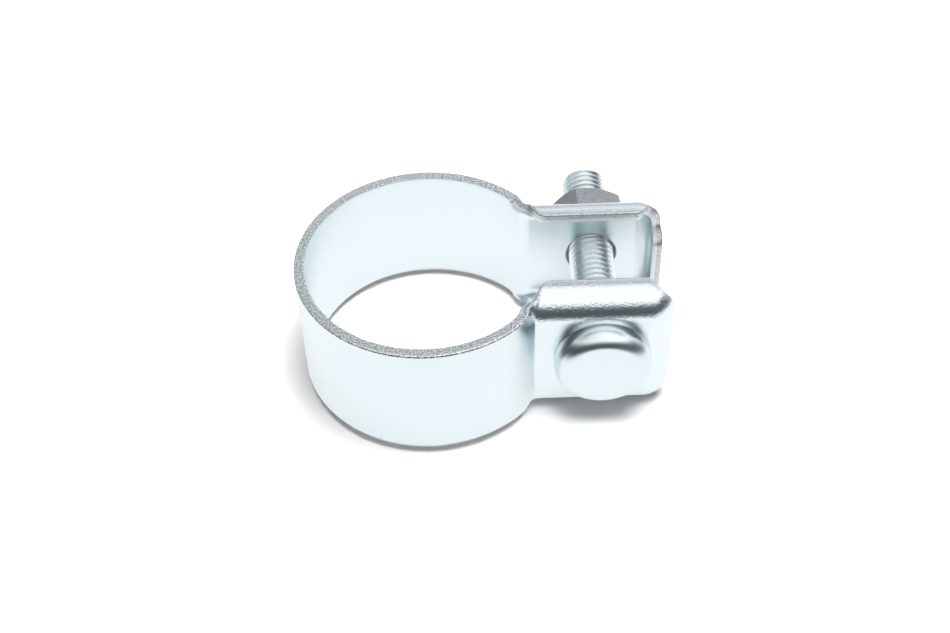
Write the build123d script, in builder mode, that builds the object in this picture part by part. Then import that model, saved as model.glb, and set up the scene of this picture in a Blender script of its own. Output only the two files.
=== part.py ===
from build123d import *
import os
from math import asin, degrees, radians, tan

# A one-bolt exhaust clamp: a band pressed from one strip, with its bolt and nut.
# The pipe axis is Z and the origin is on it, at the middle of the band's width.
# The ears point to +X, and the bolt runs along Y with its head at -Y.

# Driving dimensions, in millimetres and degrees
pipe_diameter = 50.5    # the bore that closes round the pipe
sheet = 2.2             # thickness of the strip
band_width = 28.0       # width of the strip round the pipe
ear_span = 33.0         # over the outer faces of the two ears
ear_gap = 19.0          # between the free edges of the two ears' lips
ear_height = 32.4       # over the top and bottom lips of an ear
ear_end = 51.0          # pipe axis to the outer end of the ears
ear_bend = 5.8          # outside radius of the bend from an ear's face to its lips
ear_corner = 6.0        # outside radius of an ear's free corners, seen along the bolt
corner_dip = 3.0        # how much shallower the lips are in the middle of those corners
dip_reach = 3.5         # where that starts, out from the corner radius's own centre

# The strip between the round part and the ears, seen along the pipe
crease_radius = 1.5     # outside radius of the crease beside an ear
rim_rise = 1.1          # how far each rim climbs on its way to an ear
rise_start = 15.5       # where the climb starts, from the pipe axis
lip_lean = 1.5          # how much further out a lip starts at its free edge
lip_corner = 2.4        # radius of that corner of the lip

# The bolt, its holes and the nut
bolt_offset = 36.0      # pipe axis to bolt axis
thread_diameter = 9.8   # M10, measured over the crests
bolt_length = 55.0      # under the head
bolt_chamfer = 1.4
head_diameter = 20.2
head_height = 4.8
head_edge = 3.0         # radius of the head's rounded edge
neck_width = 10.0       # square neck that stops the bolt from turning
neck_length = 3.6
neck_corner = 1.0
square_hole = 10.3
round_hole = 11.0
nut_flats = 17.0
nut_height = 10.5
nut_bore = 9.9          # runs on the thread's crests
nut_land = 8.15         # radius of the flat ring where it bears on the ear
nut_slope = 30.0        # slope of the cone that cuts its corners there
nut_crown = 7.9         # radius of the flat ring on its outer end
crown_slope = 42.0      # slope of the steeper cone at that end
nut_turn = 46.5         # how the nut stands, about its own axis

# Values that follow from those
pipe_radius = pipe_diameter / 2
face = ear_span / 2
lip_edge = ear_gap / 2
half_ear = ear_height / 2
half_band = band_width / 2
outside = pipe_radius + sheet
ring_end = degrees(asin((face + crease_radius) / (outside + crease_radius)))
heading = 90 - ring_end                    # direction of the wall as it meets the crease
through = 2 * ear_end
bolt_axis = Axis((bolt_offset, 0, 0), (0, 1, 0))

os.makedirs("parts", exist_ok=True)


def wall_lines(depth):
    """Half of a line at that depth in the strip, from the ring's back to the end of the crease."""
    radius = outside - depth
    ring = JernArc((-radius, 0), (0, -1), radius, 180 - ring_end)
    crease = JernArc(ring @ 1, ring % 1, crease_radius + depth, -heading)
    return ring @ 1, crease @ 1


# The outside of one ear, a block with rounded edges, and the hollow behind its sheet
def ear_block(depth):
    end = ear_end - depth
    top = half_ear - depth
    with BuildPart() as block:
        with BuildSketch(Plane.XZ.offset(face - depth)) as outline:
            with Locations((end, 0)):
                Rectangle(end - rise_start, 2 * top, align=(Align.MAX, Align.CENTER))
            fillet(outline.vertices().group_by(Axis.X)[-1], ear_corner - depth)
        extrude(amount=lip_edge - face + depth)
        front = block.faces().sort_by(Axis.Y)[0]
        fillet(front.edges().sort_by(Axis.X)[1:], ear_bend - depth)
    return block.part


ear_outside = ear_block(0)
ear_hollow = ear_block(sheet)

# What the press takes off the lips at an ear's upper free corner
corner_centre = (ear_end - ear_corner, -lip_edge, half_ear - ear_corner)
with BuildPart() as corner_cut:
    with BuildSketch(Plane(corner_centre, x_dir=(1, 0, 1), z_dir=(-1, 0, 1))):
        with BuildLine():
            slope = corner_dip / (ear_corner - dip_reach)
            Polyline(
                (dip_reach, 0),
                (dip_reach + ear_corner, -slope * ear_corner),
                (dip_reach + ear_corner, sheet),
                (dip_reach, sheet),
                close=True,
            )
        make_face()
    extrude(amount=ear_corner, both=True)
    mirror(about=Plane.XY)
    mirror(about=Plane.XZ)

# The round part up to its creases, as one solid form, with rims that climb towards the ears
with BuildPart() as ring_form:
    with BuildSketch() as ring_plan:
        with BuildLine():
            wall_end, crease_end = wall_lines(0)
            Line(crease_end, (crease_end.X, 0))
            mirror(about=Plane.XZ)
        make_face()
    extrude(amount=half_ear - ear_bend, both=True)

with BuildPart() as rim_form:
    with BuildSketch() as rim_plan:
        add(ring_plan.sketch)
        with Locations(Location(wall_end, (0, 0, heading))):
            Rectangle(face, face, align=(Align.MIN, Align.MAX), mode=Mode.SUBTRACT)
        mirror(about=Plane.XZ, mode=Mode.INTERSECT)
    extrude(amount=half_band + rim_rise, both=True)
    with BuildSketch(Plane.XZ) as rim_cut:
        with BuildLine():
            climb = Spline(
                (rise_start, half_band),
                (crease_end.X, half_band + rim_rise),
                tangents=((1, 0), (1, 0.2)),
            )
            Polyline(climb @ 1, (climb @ 1) + (0, rim_rise), (-ear_end, half_band + 2 * rim_rise),
                     (-ear_end, half_band), climb @ 0)
        make_face()
        mirror(about=Plane.XZ)
    extrude(amount=through, both=True, mode=Mode.SUBTRACT)

# The band: both forms and both ears, less everything inside the sheet
with BuildPart() as band:
    add(ring_form.part)
    add(rim_form.part)
    add(ear_outside)
    add(ear_outside.mirror(Plane.XZ))
    with BuildSketch() as inside_plan:
        with BuildLine():
            wall_lines(sheet)
            start = crease_end + (0, sheet)
            corner = Vector(start.X + lip_lean, -lip_edge)
            FilletPolyline(start, corner, (through, -lip_edge), radius=lip_corner)
            Line((through, -lip_edge), (through, 0))
            mirror(about=Plane.XZ)
        make_face()
    extrude(amount=through, both=True, mode=Mode.SUBTRACT)
    add(ear_hollow, mode=Mode.SUBTRACT)
    add(ear_hollow.mirror(Plane.XZ), mode=Mode.SUBTRACT)
    add(corner_cut.part, mode=Mode.SUBTRACT)
    with BuildSketch(Plane.XZ):
        with Locations((bolt_offset, 0)):
            RectangleRounded(square_hole, square_hole, neck_corner)
    extrude(amount=through, mode=Mode.SUBTRACT)
    with BuildSketch(Plane.XZ):
        with Locations((bolt_offset, 0)):
            Circle(round_hole / 2)
    extrude(amount=-through, mode=Mode.SUBTRACT)

# The bolt: a low round head, a square neck and the threaded shank
with BuildPart() as bolt:
    with BuildSketch() as bolt_profile:
        with Locations((bolt_offset, -face)):
            Rectangle(head_diameter / 2, head_height, align=(Align.MIN, Align.MAX))
            fillet(bolt_profile.vertices().sort_by(Axis.Y)[:2].sort_by(Axis.X)[-1], head_edge)
            Rectangle(thread_diameter / 2, bolt_length, align=(Align.MIN, Align.MIN))
            tip = bolt_profile.vertices().group_by(Axis.Y)[-1].sort_by(Axis.X)[-1]
            chamfer(tip, bolt_chamfer)
    revolve(axis=bolt_axis)
    with BuildSketch(Plane.XZ.offset(face)):
        with Locations((bolt_offset, 0)):
            RectangleRounded(neck_width, neck_width, neck_corner)
    extrude(amount=-neck_length)

# The nut: a hexagon with its corners cut by a cone at both ends
with BuildPart() as nut:
    with BuildSketch(Plane.XZ.offset(-face)):
        with Locations((bolt_offset, 0)):
            RegularPolygon(nut_flats / 2, 6, major_radius=False, rotation=nut_turn)
            Circle(nut_bore / 2, mode=Mode.SUBTRACT)
    extrude(amount=-nut_height)
    with BuildSketch() as nut_side:
        with BuildLine():
            reach = 0.6 * nut_flats
            inner_drop = (reach - nut_land) * tan(radians(nut_slope))
            outer_drop = (reach - nut_crown) * tan(radians(crown_slope))
            Polyline(
                (bolt_offset, face),
                (bolt_offset + nut_land, face),
                (bolt_offset + reach, face + inner_drop),
                (bolt_offset + reach, face + nut_height - outer_drop),
                (bolt_offset + nut_crown, face + nut_height),
                (bolt_offset, face + nut_height),
                close=True,
            )
        make_face()
    revolve(axis=bolt_axis, mode=Mode.INTERSECT)

for name, piece in (("band", band), ("bolt", bolt), ("nut", nut)):
    piece.part.label = name
    export_step(piece.part, f"parts/{name}.step")
    print(name, round(piece.part.volume, 1), piece.part.bounding_box())
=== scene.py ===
import math

import bmesh
import bpy
import numpy as np
from mathutils import Matrix, Vector


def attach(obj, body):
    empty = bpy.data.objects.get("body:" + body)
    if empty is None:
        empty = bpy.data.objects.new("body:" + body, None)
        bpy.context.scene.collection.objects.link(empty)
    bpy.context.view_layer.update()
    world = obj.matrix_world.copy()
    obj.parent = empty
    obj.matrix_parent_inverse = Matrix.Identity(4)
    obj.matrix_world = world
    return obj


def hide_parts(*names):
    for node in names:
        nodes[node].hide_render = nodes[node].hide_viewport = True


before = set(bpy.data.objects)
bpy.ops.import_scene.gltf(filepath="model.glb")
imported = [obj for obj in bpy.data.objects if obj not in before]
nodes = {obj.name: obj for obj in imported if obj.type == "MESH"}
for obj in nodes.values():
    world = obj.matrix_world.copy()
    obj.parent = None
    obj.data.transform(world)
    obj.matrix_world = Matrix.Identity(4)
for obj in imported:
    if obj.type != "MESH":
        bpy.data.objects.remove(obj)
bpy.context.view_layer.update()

# Lengths are in millimetres and angles in radians, unless a name or comment says otherwise.
# The pipe axis is Z, the ears point to +X, and the bolt runs along Y with its head at -Y.
MM = 0.001

# Sizes that the CAD has too
BORE = 25.25            # radius of the bore round the pipe
SHEET = 2.2             # thickness of the strip
HALF_BAND = 14.0        # half the strip's width round the pipe
FACE = 16.5             # pipe axis to an ear's outer face
LIP_EDGE = 9.5          # pipe axis to the free edge of an ear's lips
HALF_EAR = 16.2         # half the height over an ear's lips
EAR_END = 51.0          # pipe axis to the outer end of the ears
BEND = 5.8              # outside radius of the bend from an ear's face to its lips
SQUARE_HOLE = 10.3      # width of the square hole
ROUND_HOLE = 5.5        # radius of the round hole
BOLT_X = 36.0           # pipe axis to bolt axis
BOLT_LENGTH = 55.0      # under the head
TIP_RADIUS = 3.5        # at the end of the bolt, inside its 45 degree chamfer
HEAD_RADIUS = 10.1
HEAD_HEIGHT = 4.8
HEAD_EDGE = 3.0         # radius of the head's rounded edge
NECK_HALF = 5.0         # half the width of the square neck
NECK_CORNER = 1.0
NECK_LENGTH = 3.6
NUT_HEIGHT = 10.5


# Materials
def new_material(name):
    """A material with only a Principled shader and its output."""
    mat = bpy.data.materials.new(name)
    mat.use_nodes = True
    tree = mat.node_tree
    tree.nodes.clear()
    out = tree.nodes.new("ShaderNodeOutputMaterial")
    bsdf = tree.nodes.new("ShaderNodeBsdfPrincipled")
    tree.links.new(bsdf.outputs["BSDF"], out.inputs["Surface"])
    return mat, tree, bsdf


def add_node(tree, kind, values=(), **props):
    """A node with its properties set, then its input values, by name or number."""
    node = tree.nodes.new(kind)
    for key, value in props.items():
        setattr(node, key, value)
    for key, value in dict(values).items():
        node.inputs[key].default_value = value
    return node


def link(tree, source, target):
    tree.links.new(source, target)


def rescale(tree, socket, old, new):
    """The socket's value with the range `old` mapped to the range `new`, and held inside it."""
    values = {"From Min": old[0], "From Max": old[1], "To Min": new[0], "To Max": new[1]}
    node = add_node(tree, "ShaderNodeMapRange", values)
    link(tree, socket, node.inputs["Value"])
    return node.outputs["Result"]


def first_glossy(tree, path):
    """1 for a ray mirrored by metal that the camera sees, 0 for one that was scattered before."""
    fresh = add_node(tree, "ShaderNodeMath", {1: 0.5}, operation="LESS_THAN")
    both = add_node(tree, "ShaderNodeMath", operation="MULTIPLY")
    link(tree, path.outputs["Diffuse Depth"], fresh.inputs[0])
    link(tree, fresh.outputs[0], both.inputs[0])
    link(tree, path.outputs["Is Glossy Ray"], both.inputs[1])
    return both.outputs[0]


TORN_MM = 0.35          # size of the specks on a torn or ground surface


def zinc(name, colour, rough, grain_mm=0.2, grain=0.5, speck=0.0, depth_mm=0.05):
    """Zinc plating: a fine grain in its gloss and its surface, and specks of tone if `speck`."""
    mat, tree, bsdf = new_material(name)
    bsdf.inputs["Metallic"].default_value = 1.0
    bsdf.inputs["Base Color"].default_value = (*colour, 1)
    place = add_node(tree, "ShaderNodeTexCoord")
    fine_values = {"Scale": 1 / (grain_mm * MM), "Detail": 2.0, "Roughness": 0.6}
    fine = add_node(tree, "ShaderNodeTexNoise", fine_values)
    link(tree, place.outputs["Object"], fine.inputs["Vector"])
    gloss = rescale(tree, fine.outputs["Fac"], (0.3, 0.7), (rough * 0.8, rough * 1.2))
    link(tree, gloss, bsdf.inputs["Roughness"])
    bump = add_node(tree, "ShaderNodeBump", {"Strength": grain, "Distance": depth_mm * MM})
    link(tree, fine.outputs["Fac"], bump.inputs["Height"])
    link(tree, bump.outputs["Normal"], bsdf.inputs["Normal"])
    if speck:
        torn = add_node(tree, "ShaderNodeTexNoise", {"Scale": 1 / (TORN_MM * MM), "Detail": 1.0})
        link(tree, place.outputs["Object"], torn.inputs["Vector"])
        tone = rescale(tree, torn.outputs["Fac"], (0.40, 0.60), (1 - speck, 1 + speck * 0.6))
        tint = add_node(tree, "ShaderNodeVectorMath", {0: colour}, operation="SCALE")
        link(tree, tone, tint.inputs["Scale"])
        link(tree, tint.outputs["Vector"], bsdf.inputs["Base Color"])
    return mat


band_zinc = zinc("band_zinc", (0.80, 0.88, 0.91), 0.22)
band_bend = zinc("band_bend", (0.82, 0.89, 0.92), 0.15, grain_mm=0.45, grain=1.0, depth_mm=0.075)
band_rim = zinc("band_rim", (0.72, 0.75, 0.76), 0.18, grain_mm=0.42, grain=1.0, speck=0.35, depth_mm=0.11)
band_cut = zinc("band_cut", (0.66, 0.69, 0.71), 0.36, grain_mm=0.25, grain=0.9, speck=0.25)
# The cut edge's inner corner is painted brighter than the rest of the cut: a painted highlight.
band_painted_highlight = zinc("band_painted_highlight", (0.95, 0.97, 0.98), 0.55, grain_mm=0.25)
bolt_zinc = zinc("bolt_zinc", (0.78, 0.86, 0.89), 0.22)
thread_zinc = zinc("thread_zinc", (0.90, 0.96, 0.98), 0.24)
nut_zinc = zinc("nut_zinc", (0.42, 0.44, 0.45), 0.36, grain_mm=0.5, grain=0.6, speck=0.18, depth_mm=0.06)

# The band's materials, in the order of its mesh's slots
BAND_MATERIALS = [band_zinc, band_cut, band_painted_highlight, band_rim, band_bend]
PLAIN, CUT, PAINTED_HIGHLIGHT, RIM, BENT = range(5)


# Meshes
WELD = 0.002            # points closer than this are one point


def mesh_object(name, verts, faces, mats, index=None, sharp=32.0):
    """A smooth-shaded mesh from points in millimetres; edges over `sharp` degrees stay sharp."""
    mesh = bpy.data.meshes.new(name)
    points = [tuple(v) for v in np.asarray(verts) * MM]
    mesh.from_pydata(points, [], [tuple(int(i) for i in face) for face in faces])
    for mat in mats:
        mesh.materials.append(mat)
    if index is not None:
        mesh.polygons.foreach_set("material_index", np.asarray(index, dtype=np.int32))
    o = bpy.data.objects.new(name, mesh)
    bpy.context.collection.objects.link(o)
    clean(mesh, sharp)
    return o


def clean(mesh, sharp):
    """Welds the mesh, turns its faces outwards and marks which edges stay sharp."""
    bm = bmesh.new()
    bm.from_mesh(mesh)
    bmesh.ops.remove_doubles(bm, verts=bm.verts, dist=WELD * MM)
    bmesh.ops.recalc_face_normals(bm, faces=bm.faces)
    limit = math.radians(sharp)
    for face in bm.faces:
        face.smooth = True
    for edge in bm.edges:
        edge.smooth = len(edge.link_faces) != 2 or edge.calc_face_angle(0) < limit
    bm.to_mesh(mesh)
    bm.free()


def grid_faces(columns, rows, start=0, closed=False):
    """Quads over a grid of points that is stored column after column."""
    faces = []
    for i in range(columns if closed else columns - 1):
        here = start + i * rows
        there = start + (i + 1) % columns * rows
        for k in range(rows - 1):
            faces.append((here + k, there + k, there + k + 1, here + k + 1))
    return faces


def end_caps(columns, rows):
    """The two faces that close a round grid at its first and its last row."""
    return [tuple(i * rows for i in range(columns)), tuple(i * rows + rows - 1 for i in range(columns))]


def join(parts):
    """One list of points and one of faces, from several pairs of such lists."""
    verts, faces = [], []
    for part_verts, part_faces in parts:
        start = len(verts)
        verts += list(part_verts)
        faces += [tuple(start + i for i in face) for face in part_faces]
    return verts, faces


def cut_away(target, cutter):
    """Takes the cutter's form out of the target's mesh for good."""
    cut = target.modifiers.new("cut", "BOOLEAN")
    cut.object = cutter
    cut.operation = "DIFFERENCE"
    cut.solver = "EXACT"
    depsgraph = bpy.context.evaluated_depsgraph_get()
    mesh = bpy.data.meshes.new_from_object(target.evaluated_get(depsgraph))
    target.modifiers.clear()
    old = target.data
    target.data = mesh
    bpy.data.meshes.remove(old)
    bpy.data.objects.remove(cutter)


# The band, made as one quarter: the near half of the ring with the near ear, above mid-height.
# A place on its outside is s along the strip from the ring's back, and t up from mid-height.
OUTSIDE = BORE + SHEET
CREASE = 0.95                                       # outside radius, a little tighter than the CAD's
RING_END = math.asin((FACE + CREASE) / (OUTSIDE + CREASE))
CREASE_X = (OUTSIDE + CREASE) * math.cos(RING_END)
CREASE_CENTRE = np.array([CREASE_X, -(OUTSIDE + CREASE) * math.sin(RING_END)])
S_RING = OUTSIDE * (math.pi - RING_END)             # where the ring ends and the crease starts
S_CREASE = S_RING + CREASE * (math.pi / 2 - RING_END)
S_BEND = S_CREASE + (EAR_END - BEND) - CREASE_X     # where the ear's end bend starts
T_BEND = HALF_EAR - BEND                            # where the top bend starts
QUARTER_BEND = BEND * math.pi / 2
FULL_REACH = QUARTER_BEND + FACE - BEND - LIP_EDGE  # from the start of a bend to the lip's free edge

# Places along the strip, from S_RING, at which the two tables below hold their values
PLACES = np.arange(-14.0, 14.0, 0.02)


def eased(places, values):
    """A table over PLACES of those values, joined by straight lines and then smoothed."""
    soft = np.exp(-0.5 * (np.arange(-1.2, 1.21, 0.02) / 0.28) ** 2)
    soft /= soft.sum()
    line = np.interp(PLACES, places, values)
    margin = len(soft) // 2
    padded = np.concatenate([np.full(margin, line[0]), line, np.full(margin, line[-1])])
    return np.convolve(padded, soft, "valid")


# How far the strip runs past T_BEND, and how strongly it is bent there, on its way to the ear
REACH_TABLE = eased([-7.0, -3.6, -1.6, -0.5, 0.75, 1.15, 1.5, 2.1, 3.0, 4.2],
                    [HALF_BAND - T_BEND, 3.7, 3.95, 4.25, 5.3, 6.8, 8.1, 9.4, 10.1, FULL_REACH])
BENT_TABLE = eased([-5.5, -2.6, -0.4, 0.8, 1.4], [0.0, 0.12, 0.6, 0.9, 1.0])

CORNER_REACH = 7.15     # how far the strip runs past the bends at an ear's free corner
GROW_LENGTH = 4.5       # length over which the end lip gets its full depth again
CORNER_STEPS = 26       # columns of quads round the corner
BEND_ROWS = 22          # rows of quads from the start of a bend to the cut edge
CORE_ROWS = 24          # rows of quads from mid-height to T_BEND, and columns down the end lip
STEP = 0.02             # for slopes and directions
INWARD = 0.5            # from the cut edge to a point of the outside that shows which way is in

# The cut edge
ROUND_OUT = 0.45        # radius that the shears left on the outer corner
ROUND_IN = 0.14         # and on the inner corner
INSET = 0.80            # the last outside row stands this far back from the edge
# each point's distance back from the edge, and its depth in the sheet
EDGE_PROFILE = [(ROUND_OUT * (1 - math.sin(q)), ROUND_OUT * (1 - math.cos(q)))
                for q in np.radians([0, 15, 30, 45, 60, 75, 90])]
EDGE_PROFILE += [(0.0, 0.8), (0.0, 1.25), (0.0, 1.7)]
EDGE_PROFILE += [(ROUND_IN * (1 - math.cos(q)), SHEET - ROUND_IN * (1 - math.sin(q)))
                 for q in np.radians([0, 45, 90])]


def unit(vectors):
    return vectors / np.maximum(np.linalg.norm(vectors, axis=-1, keepdims=True), 1e-12)


def reach(s):
    return np.interp(s - S_RING, PLACES, REACH_TABLE)


def plan(s):
    """Point and outward normal of the strip's outside, seen along the pipe, on the near half."""
    s = np.asarray(s, float)
    ring = math.pi + s / OUTSIDE
    crease = -RING_END - (np.minimum(s, S_CREASE) - S_RING) / CREASE
    angle = np.where(s <= S_RING, ring, crease)
    normal = np.stack([np.cos(angle), np.sin(angle)], -1)
    point = np.where((s <= S_RING)[..., None], normal * OUTSIDE, CREASE_CENTRE - normal * CREASE)
    point[..., 0] += np.maximum(s - S_CREASE, 0)
    return point, normal


def strip_point(s, t):
    """Outside surface at s along the strip and t up from mid-height, for s before the end bend."""
    point, normal = plan(s)
    bent = np.clip(np.interp(s - S_RING, PLACES, BENT_TABLE), 1e-4, 1)
    curve = bent / BEND
    past = np.maximum(t - T_BEND, 0)
    turn = np.minimum(curve * past, math.pi / 2)
    straight = np.maximum(past - turn / curve, 0)
    z = np.minimum(t, T_BEND) + np.sin(turn) / curve
    depth = (1 - np.cos(turn)) / curve + straight
    return np.concatenate([point - normal * depth[..., None], z[..., None]], -1)


def strip_normal(s, t):
    half_step = 0.01
    along = strip_point(s + half_step, t) - strip_point(s - half_step, t)
    up = strip_point(s, t + half_step) - strip_point(s, t - half_step)
    return unit(np.cross(along, up))


def end_point(a, b):
    """Outside surface of the ear's end and corner, a past S_BEND and b past T_BEND."""
    rho = np.hypot(a, b)
    share_a = a / np.maximum(rho, 1e-9)
    share_b = b / np.maximum(rho, 1e-9)
    turn = np.minimum(rho / BEND, math.pi / 2)
    out = BEND * np.sin(turn)
    depth = BEND * (1 - np.cos(turn)) + np.maximum(rho - QUARTER_BEND, 0)
    return np.stack([EAR_END - BEND + out * share_a, -FACE + depth, T_BEND + out * share_b], -1)


def end_normal(a, b):
    rho = np.maximum(np.hypot(a, b), 1e-9)
    turn = np.minimum(rho / BEND, math.pi / 2)
    return np.stack([np.sin(turn) * a / rho, -np.cos(turn), np.sin(turn) * b / rho], -1)


def edge_rows(outer, normal, edge, edge_normal, along, inner):
    """Columns across a lip: the outside rows, the cut edge, then the inside rows back again.

    `along` runs along the edge, and `inner` is a point of the outside a little way in from it.
    """
    out = unit(np.cross(edge_normal, unit(along)))
    out = -out * np.sign(np.sum(out * (inner - edge), -1, keepdims=True))
    rows = [outer]
    for inset, depth in EDGE_PROFILE:
        rows.append((edge - out * inset - edge_normal * depth)[:, None, :])
    rows.append((outer - normal * SHEET)[:, ::-1, :])
    return np.concatenate(rows, 1)


def outside_rows(whole, slope):
    """Distances of the outside rows past the bend's start, for an edge at `whole` with that slope."""
    share = np.linspace(0, 1, BEND_ROWS + 1)
    return (whole - INSET * np.hypot(1, slope))[:, None] * share[None, :]


def strip_columns(s):
    """Columns along the top rim, from the ring's back to where the end bend starts."""
    before = T_BEND + reach(s - STEP)
    after = T_BEND + reach(s + STEP)
    rim = T_BEND + reach(s)
    t = T_BEND + outside_rows(rim - T_BEND, (after - before) / (2 * STEP))
    wide = np.repeat(s[:, None], BEND_ROWS + 1, 1)
    along = strip_point(s + STEP, after) - strip_point(s - STEP, before)
    return edge_rows(strip_point(wide, t), strip_normal(wide, t), strip_point(s, rim),
                     strip_normal(s, rim), along, strip_point(s, rim - INWARD))


def corner_columns():
    """Columns round the ear's free corner, where the lip is shallower."""
    phi = np.radians(np.linspace(90, 0, CORNER_STEPS + 1))
    rho = CORNER_REACH + (FULL_REACH - CORNER_REACH) * np.maximum(-np.cos(2 * phi), 0) ** 3
    girth = BEND * np.sin(np.minimum(rho / BEND, math.pi / 2))
    r = outside_rows(rho, np.gradient(rho, phi) / girth)
    a = r * np.cos(phi)[:, None]
    b = r * np.sin(phi)[:, None]
    edge = end_point(rho * np.cos(phi), rho * np.sin(phi))
    edge_normal = end_normal(rho * np.cos(phi), rho * np.sin(phi))
    inner = end_point((rho - INWARD) * np.cos(phi), (rho - INWARD) * np.sin(phi))
    normal = end_normal(np.maximum(a, 1e-7), np.maximum(b, 1e-7))
    return edge_rows(end_point(a, b), normal, edge, edge_normal, np.gradient(edge, axis=0), inner)


def end_columns():
    """Columns down the ear's end lip, from the corner to mid-height."""
    t = np.linspace(T_BEND, 0, CORE_ROWS + 1)
    grow = np.clip((T_BEND - t) / GROW_LENGTH, 0, 1)
    rho = CORNER_REACH + (FULL_REACH - CORNER_REACH) * grow * grow * (3 - 2 * grow)
    r = outside_rows(rho, np.gradient(rho, t))
    outer = end_point(r, np.zeros_like(r))
    edge = end_point(rho, np.zeros_like(rho))
    inner = end_point(rho - INWARD, np.zeros_like(rho))
    outer[..., 2] = t[:, None]
    edge[:, 2] = t
    inner[:, 2] = t
    normal = end_normal(np.maximum(r, 1e-7), np.zeros_like(r))
    edge_normal = end_normal(rho, np.zeros_like(rho))
    return edge_rows(outer, normal, edge, edge_normal, np.gradient(edge, axis=0), inner)


def row_material(row, on_ring):
    """The material of a row of quads across a lip: outside, cut edge or inside."""
    cut_row = row - (BEND_ROWS + 1)
    cut_rows = len(EDGE_PROFILE) - 1
    if cut_row < 0:
        return PLAIN if on_ring else BENT
    if cut_row >= cut_rows:
        return PLAIN
    if on_ring:
        return RIM
    # the rows round the cut edge's inner corner take the painted highlight
    return PAINTED_HIGHLIGHT if cut_rows - 4 <= cut_row < cut_rows - 1 else CUT


def band_quarter():
    """Points, quads and materials of the upper near quarter of the band."""
    # close together along the strip near the crease, where it bends most
    marks = [0.0, S_RING - 12, S_RING - 3, S_RING + 5, S_BEND]
    spans = zip(marks, marks[1:], [61, 18, 73, 21])
    s = np.concatenate([[0.0]] + [np.linspace(a, b, count + 1)[1:] for a, b, count in spans])
    # the corner and the end start on the column that the part before them ends with
    rim = np.concatenate([strip_columns(s), corner_columns()[1:], end_columns()[1:]], 0)
    columns, rows = rim.shape[:2]
    index = []
    for i in range(columns - 1):
        on_ring = i < len(s) and s[i] < S_RING - 1
        index += [row_material(k, on_ring) for k in range(rows - 1)]
    # the core of the strip, between mid-height and the bends
    core_s, core_t = np.meshgrid(s, np.linspace(0, T_BEND, CORE_ROWS + 1), indexing="ij")
    outside = strip_point(core_s, core_t)
    inside = outside - strip_normal(core_s, np.minimum(core_t, T_BEND - STEP)) * SHEET
    core_faces = grid_faces(len(s), CORE_ROWS + 1)
    index += [PLAIN] * (2 * len(core_faces))
    verts, faces = join([(rim.reshape(-1, 3), grid_faces(columns, rows)),
                         (outside.reshape(-1, 3), core_faces),
                         (inside.reshape(-1, 3), core_faces)])
    return np.array(verts), faces, index


def punch(target, name, side, corners, radius, first_corner):
    """Takes a hole out of the ear on that side: a polygon about the bolt, with eased edges."""
    flare = 1.035
    ring = [(radius * math.cos(first_corner + 2 * math.pi * i / corners),
             radius * math.sin(first_corner + 2 * math.pi * i / corners)) for i in range(corners)]
    # distance from the pipe axis, and the hole's width there as a share of its true width
    levels = ((12.0, flare * 1.4), (FACE - SHEET, flare), (FACE - SHEET + 0.25, 1.0), (FACE - 0.3, 1.0),
              (FACE, flare), (19.0, flare * 1.4))
    verts = [(BOLT_X + x * share, side * y, z * share) for x, z in ring for y, share in levels]
    faces = grid_faces(corners, len(levels), 0, True) + end_caps(corners, len(levels))
    cut_away(target, mesh_object("hole_" + name, verts, faces, [band_zinc]))


def make_band():
    """The pressed strip: four mirrored quarters with the two bolt holes."""
    quarter, faces, index = band_quarter()
    quarters = [(quarter * np.array([1, side, up]), faces) for side in (1, -1) for up in (1, -1)]
    verts, faces = join(quarters)
    band = mesh_object("band_strip", verts, faces, BAND_MATERIALS, index * len(quarters))
    punch(band, "square", -1, 4, SQUARE_HOLE / math.sqrt(2), math.radians(45))
    punch(band, "round", 1, 64, ROUND_HOLE, 0)
    clean(band.data, 32)
    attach(band, "band")
    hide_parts("band")


make_band()

# The thread, right-hand, as a radius over the angle round the bolt and the place along it
PITCH = 1.5
CREST = 4.9             # radius over the crests
ROOT = 4.02             # radius in the roots
TURN_COLUMNS = 120
# the rows of one pitch, closer together where the profile turns
PITCH_ROWS = np.array([0.0, 0.05, 0.09, 0.16, 0.24, 0.32, 0.39, 0.42, 0.46,
                       0.54, 0.58, 0.61, 0.68, 0.76, 0.84, 0.91, 0.95])


def thread_radius(theta, y, extra=0.0):
    """Radius at the angle theta, from +Z towards +X, and at y."""
    phase = (y / PITCH - theta / (2 * math.pi)) % 1.0
    off_crest = np.abs(phase - 0.5) * 2           # 0 on the crest, 1 in the root
    up = np.clip((0.88 - off_crest) / (0.88 - 0.14), 0, 1)
    up = up + 0.04 * np.sin(2 * math.pi * up) * (up < 1) * (up > 0)
    return ROOT + (CREST - ROOT) * up + extra


def turn_angles():
    return np.linspace(0, 2 * math.pi, TURN_COLUMNS + 1)[:-1]


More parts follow.
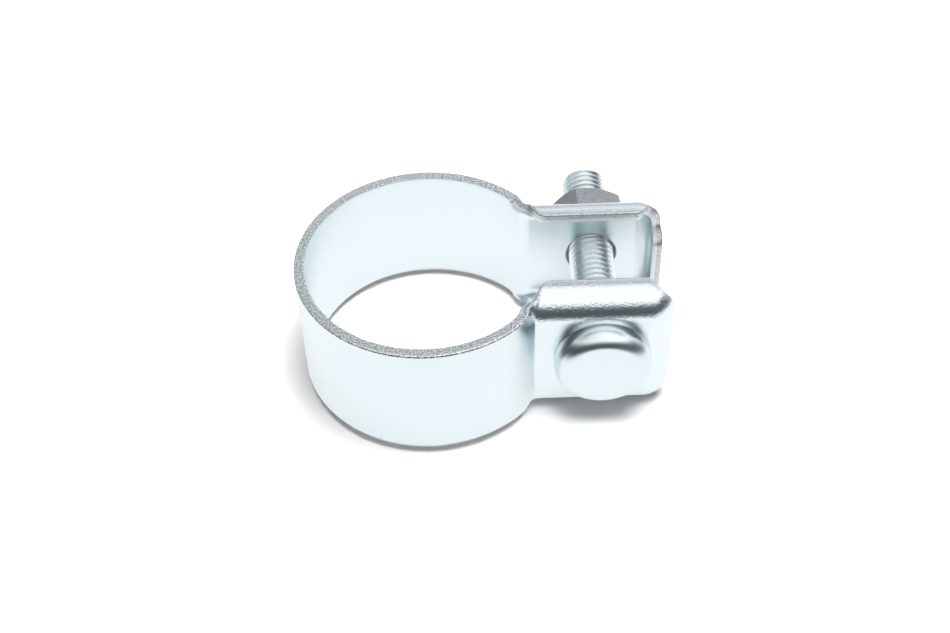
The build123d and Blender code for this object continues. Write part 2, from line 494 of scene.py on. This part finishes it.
def screw(y_start, y_end, radius, caps=True):
    """A threaded surface whose rows follow the helix, so that its crests come out clean."""
    first = math.floor(y_start / PITCH) - 2
    last = math.ceil(y_end / PITCH) + 1
    places = np.concatenate([(k + PITCH_ROWS) * PITCH for k in range(first, last)])
    rows, per_turn = len(places), len(PITCH_ROWS)
    theta, y = np.meshgrid(turn_angles(), places, indexing="ij")
    y = np.clip(y + PITCH * theta / (2 * math.pi), y_start, y_end)
    polar = zip(theta.ravel(), y.ravel(), radius(theta, y).ravel())
    verts = [(BOLT_X + r * math.sin(q), v, r * math.cos(q)) for q, v, r in polar]
    faces = []
    for i in range(TURN_COLUMNS):
        # the last column meets the first one a whole turn further on
        j, shift = (i + 1, 0) if i + 1 < TURN_COLUMNS else (0, per_turn)
        for k in range(rows - 1 - shift):
            quad = (i * rows + k, j * rows + k + shift, j * rows + k + 1 + shift, i * rows + k + 1)
            here = abs(y.flat[quad[0]] - y.flat[quad[3]])
            there = abs(y.flat[quad[1]] - y.flat[quad[2]])
            if max(here, there) > 1e-9:
                faces.append(quad)
    if caps:
        faces += end_caps(TURN_COLUMNS, rows)
    return verts, faces


# The bolt
def head_part():
    """The low head with its rounded edge, turned from a profile of radius and y."""
    columns = 96
    top = -FACE - HEAD_HEIGHT
    flat = HEAD_RADIUS - HEAD_EDGE
    profile = [(0.001, top), (4.0, top), (flat - 0.6, top), (flat, top + 0.01)]
    profile += [(flat + HEAD_EDGE * math.sin(q), top + HEAD_EDGE * (1 - math.cos(q)))
                for q in np.radians(np.arange(8, 91, 8.2))]
    # a small rounded edge underneath, then the flat that bears on the ear
    profile += [(HEAD_RADIUS, -FACE - 0.25), (HEAD_RADIUS - 0.06, -FACE - 0.12),
                (HEAD_RADIUS - 0.2, -FACE - 0.02), (HEAD_RADIUS - 0.4, -FACE), (4.0, -FACE)]
    verts = [(BOLT_X + r * math.sin(q), y, r * math.cos(q))
             for q in np.linspace(0, 2 * math.pi, columns, endpoint=False) for r, y in profile]
    return verts, grid_faces(columns, len(profile), 0, True) + end_caps(columns, len(profile))


NECK_END = -FACE + NECK_LENGTH


def neck_part():
    """The square neck, from inside the head to its slightly tapered end."""
    middle = NECK_HALF - NECK_CORNER
    outline = []
    for x, z, first in ((1, 1, 0), (-1, 1, 90), (-1, -1, 180), (1, -1, 270)):
        for q in np.radians(np.linspace(first, first + 90, 6)):
            outline.append((x * middle + NECK_CORNER * math.cos(q), z * middle + NECK_CORNER * math.sin(q)))
    # place along the bolt, and the neck's width there as a share of its full width
    levels = ((-FACE - 0.4, 1.0), (NECK_END - 0.35, 1.0), (NECK_END - 0.1, 0.97), (NECK_END, 0.92))
    verts = [(BOLT_X + x * share, y, z * share) for x, z in outline for y, share in levels]
    faces = grid_faces(len(outline), len(levels), 0, True) + end_caps(len(outline), len(levels))
    return verts, faces


def shank_part():
    """The threaded shank, which starts inside the neck and ends in a chamfered tip."""
    tip = -FACE + BOLT_LENGTH

    def radius(theta, y):
        return np.minimum(thread_radius(theta, y), TIP_RADIUS + (tip - y))

    return screw(NECK_END - 0.5, tip, radius)


def make_bolt():
    head, neck, shank = head_part(), neck_part(), shank_part()
    verts, faces = join([head, neck, shank])
    index = [0] * (len(head[1]) + len(neck[1])) + [1] * len(shank[1])
    bolt = mesh_object("bolt_threaded", verts, faces, [bolt_zinc, thread_zinc], index, sharp=38)
    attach(bolt, "bolt")
    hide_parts("bolt")


make_bolt()


# The nut keeps its CAD solid, with the thread in its bore added
def make_nut_thread():
    """A thin sleeve inside the nut's bore, with a thread in step with the bolt's."""
    inset = 0.15            # from the nut's two ends
    sleeve = 4.94           # outer radius, just inside the nut's bore
    y_start, y_end = FACE + inset, FACE + NUT_HEIGHT - inset

    def radius(theta, y):
        flare = np.maximum(0, 0.9 - np.minimum(y - y_start, y_end - y))
        return np.clip(np.maximum(thread_radius(theta, y, 0.06), 4.05 + flare), 4.22, 4.9)

    verts, faces = screw(y_start, y_end, radius, caps=False)
    start = len(verts)
    rows = start // TURN_COLUMNS
    verts += [(BOLT_X + sleeve * math.sin(q), y, sleeve * math.cos(q))
              for q in turn_angles() for y in (y_start, y_end)]
    faces += grid_faces(TURN_COLUMNS, 2, start, True)
    # the rings that join the thread to the sleeve's outside at both ends
    for i in range(TURN_COLUMNS):
        j = (i + 1) % TURN_COLUMNS
        faces.append((i * rows, j * rows, start + j * 2, start + i * 2))
        faces.append((i * rows + rows - 1, j * rows + rows - 1, start + j * 2 + 1, start + i * 2 + 1))
    thread = mesh_object("nut_thread", verts, faces, [nut_zinc], sharp=38)
    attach(thread, "nut")


make_nut_thread()
nodes["nut"].data.materials.clear()
nodes["nut"].data.materials.append(nut_zinc)


# The floor and the surroundings
def make_floor():
    """A white floor that keeps the clamp's shadow; the camera and the metal see it whiter than it is."""
    left, right, near, far = -160, 170, -78, 250
    camera_share, mirror_share = 0.06, 0.86     # how much plain white each of them sees
    mesh = bpy.data.meshes.new("floor")
    corners = ((left, near), (right, near), (right, far), (left, far))
    mesh.from_pydata([(x * MM, y * MM, 0) for x, y in corners], [], [(0, 1, 2, 3)])
    floor = bpy.data.objects.new("floor", mesh)
    bpy.context.collection.objects.link(floor)
    floor.location = (0, 0, -HALF_EAR * MM)
    mat, tree, bsdf = new_material("floor_white")
    bsdf.inputs["Base Color"].default_value = (0.95, 0.95, 0.95, 1)
    bsdf.inputs["Roughness"].default_value = 0.8
    bsdf.inputs["Specular IOR Level"].default_value = 0.1
    glow = add_node(tree, "ShaderNodeEmission", {"Color": (1, 1, 1, 1), "Strength": 1.0})
    path = add_node(tree, "ShaderNodeLightPath")
    seen = add_node(tree, "ShaderNodeMath", {1: camera_share}, operation="MULTIPLY")
    mirrored = add_node(tree, "ShaderNodeMath", {1: mirror_share}, operation="MULTIPLY")
    both = add_node(tree, "ShaderNodeMath", operation="ADD")
    pick = add_node(tree, "ShaderNodeMixShader")
    out = next(n for n in tree.nodes if n.type == "OUTPUT_MATERIAL")
    link(tree, path.outputs["Is Camera Ray"], seen.inputs[0])
    link(tree, first_glossy(tree, path), mirrored.inputs[0])
    link(tree, seen.outputs[0], both.inputs[0])
    link(tree, mirrored.outputs[0], both.inputs[1])
    link(tree, both.outputs[0], pick.inputs[0])
    link(tree, bsdf.outputs[0], pick.inputs[1])
    link(tree, glow.outputs[0], pick.inputs[2])
    link(tree, pick.outputs[0], out.inputs["Surface"])
    mesh.materials.append(mat)


make_floor()


def height(degrees):
    """Where a direction that many degrees above the horizon falls on a ramp."""
    return 0.5 + 0.5 * math.sin(math.radians(degrees))


# What the metal mirrors on the camera's side and on the far side, from straight down to straight up
DARK = (0.10, 0.11, 0.12)
WHITE = (1.28, 1.26, 1.24)
FRONT_STOPS = ((0.0, DARK), (height(18), (0.11, 0.12, 0.13)), (height(26), (0.20, 0.21, 0.23)),
               (height(32), (0.9, 0.9, 0.9)), (height(42), WHITE), (1.0, WHITE))
BACK_STOPS = ((0.0, DARK), (height(-8), (0.36, 0.39, 0.43)), (height(4), (0.50, 0.54, 0.58)),
              (height(12), (0.74, 0.80, 0.86)), (height(42), (1.05, 1.07, 1.08)),
              (height(44), (0.34, 0.36, 0.38)), (height(48), (0.34, 0.36, 0.38)),
              (height(55), (0.46, 0.48, 0.50)), (height(64), (1.18, 1.18, 1.18)), (1.0, WHITE))


def ramp(tree, socket, stops):
    """Colours over a direction's height, from (place, colour) stops."""
    node = tree.nodes.new("ShaderNodeValToRGB")
    elements = node.color_ramp.elements
    while len(elements) > 1:
        elements.remove(elements[-1])
    elements[0].position = stops[0][0]
    elements[0].color = (*stops[0][1], 1)
    for place, colour in stops[1:]:
        elements.new(place).color = (*colour, 1)
    link(tree, rescale(tree, socket, (-1.0, 1.0), (0.0, 1.0)), node.inputs["Fac"])
    return node.outputs["Color"]


def make_world():
    """White to the camera, a studio to rays that metal mirrors, and dim to all others."""
    world = bpy.data.worlds.new("studio")
    bpy.context.scene.world = world
    world.use_nodes = True
    tree = world.node_tree
    tree.nodes.clear()
    out = add_node(tree, "ShaderNodeOutputWorld")
    place = add_node(tree, "ShaderNodeTexCoord")
    axes = add_node(tree, "ShaderNodeSeparateXYZ")
    link(tree, place.outputs["Generated"], axes.inputs[0])
    side = add_node(tree, "ShaderNodeMix", data_type="RGBA")
    link(tree, rescale(tree, axes.outputs["Y"], (-0.25, 0.35), (0.0, 1.0)), side.inputs["Factor"])
    link(tree, ramp(tree, axes.outputs["Z"], FRONT_STOPS), side.inputs["A"])
    link(tree, ramp(tree, axes.outputs["Z"], BACK_STOPS), side.inputs["B"])
    # brighter towards the ears
    studio = add_node(tree, "ShaderNodeBackground")
    link(tree, rescale(tree, axes.outputs["X"], (-0.7, 0.7), (0.7, 1.15)), studio.inputs["Strength"])
    link(tree, side.outputs["Result"], studio.inputs["Color"])
    dim = add_node(tree, "ShaderNodeBackground", {"Color": (1, 1, 1, 1), "Strength": 0.03})
    white = add_node(tree, "ShaderNodeBackground", {"Color": (1, 1, 1, 1), "Strength": 1.0})
    path = add_node(tree, "ShaderNodeLightPath")
    unseen = add_node(tree, "ShaderNodeMixShader")
    link(tree, first_glossy(tree, path), unseen.inputs["Fac"])
    link(tree, dim.outputs[0], unseen.inputs[1])
    link(tree, studio.outputs[0], unseen.inputs[2])
    everything = add_node(tree, "ShaderNodeMixShader")
    link(tree, path.outputs["Is Camera Ray"], everything.inputs["Fac"])
    link(tree, unseen.outputs[0], everything.inputs[1])
    link(tree, white.outputs[0], everything.inputs[2])
    link(tree, everything.outputs[0], out.inputs["Surface"])


make_world()


# The lamps light the floor and draw the shadow; the metal mirrors the surroundings instead of them
def make_lamp(name, place, target, side, power):
    lamp = bpy.data.lights.new(name, "AREA")
    lamp.shape = "RECTANGLE"
    lamp.size = side * MM
    lamp.size_y = side * MM
    lamp.energy = power
    o = bpy.data.objects.new(name, lamp)
    bpy.context.collection.objects.link(o)
    o.location = Vector(place) * MM
    o.rotation_mode = "QUATERNION"
    o.rotation_quaternion = (Vector(target) - Vector(place)).to_track_quat("-Z", "Y")
    o.visible_glossy = False


make_lamp("key", (70, -20, 500), (5, 10, 0), 280, 4.3)
make_lamp("fill", (0, -60, 520), (5, 0, 0), 420, 0.9)


# The camera, as it was fitted to the photograph
def make_camera():
    photo_width, focal_pixels = 950, 1466.586
    azimuth, elevation, roll = math.radians(-0.042), math.radians(46.645), math.radians(-1.833)
    target = Vector((9.916, -3.795, 0.0)) * MM
    distance = 312.335 * MM
    level = math.cos(elevation)
    back = Vector((math.sin(azimuth) * level, -math.cos(azimuth) * level, math.sin(elevation)))
    right = (-back).cross(Vector((0, 0, 1))).normalized()
    up = right.cross(-back)
    right, up = (math.cos(roll) * right + math.sin(roll) * up,
                 -math.sin(roll) * right + math.cos(roll) * up)
    camera = bpy.data.cameras.new("camera")
    camera.sensor_width = 36.0
    camera.sensor_fit = "HORIZONTAL"
    camera.lens = camera.sensor_width * focal_pixels / photo_width
    camera.clip_start = 0.01
    camera.clip_end = 10
    o = bpy.data.objects.new("camera", camera)
    bpy.context.collection.objects.link(o)
    placing = Matrix((right, up, back)).transposed().to_4x4()
    placing.translation = target + back * distance
    o.matrix_world = placing
    bpy.context.scene.camera = o


make_camera()
bpy.context.scene.view_settings.view_transform = "Standard"
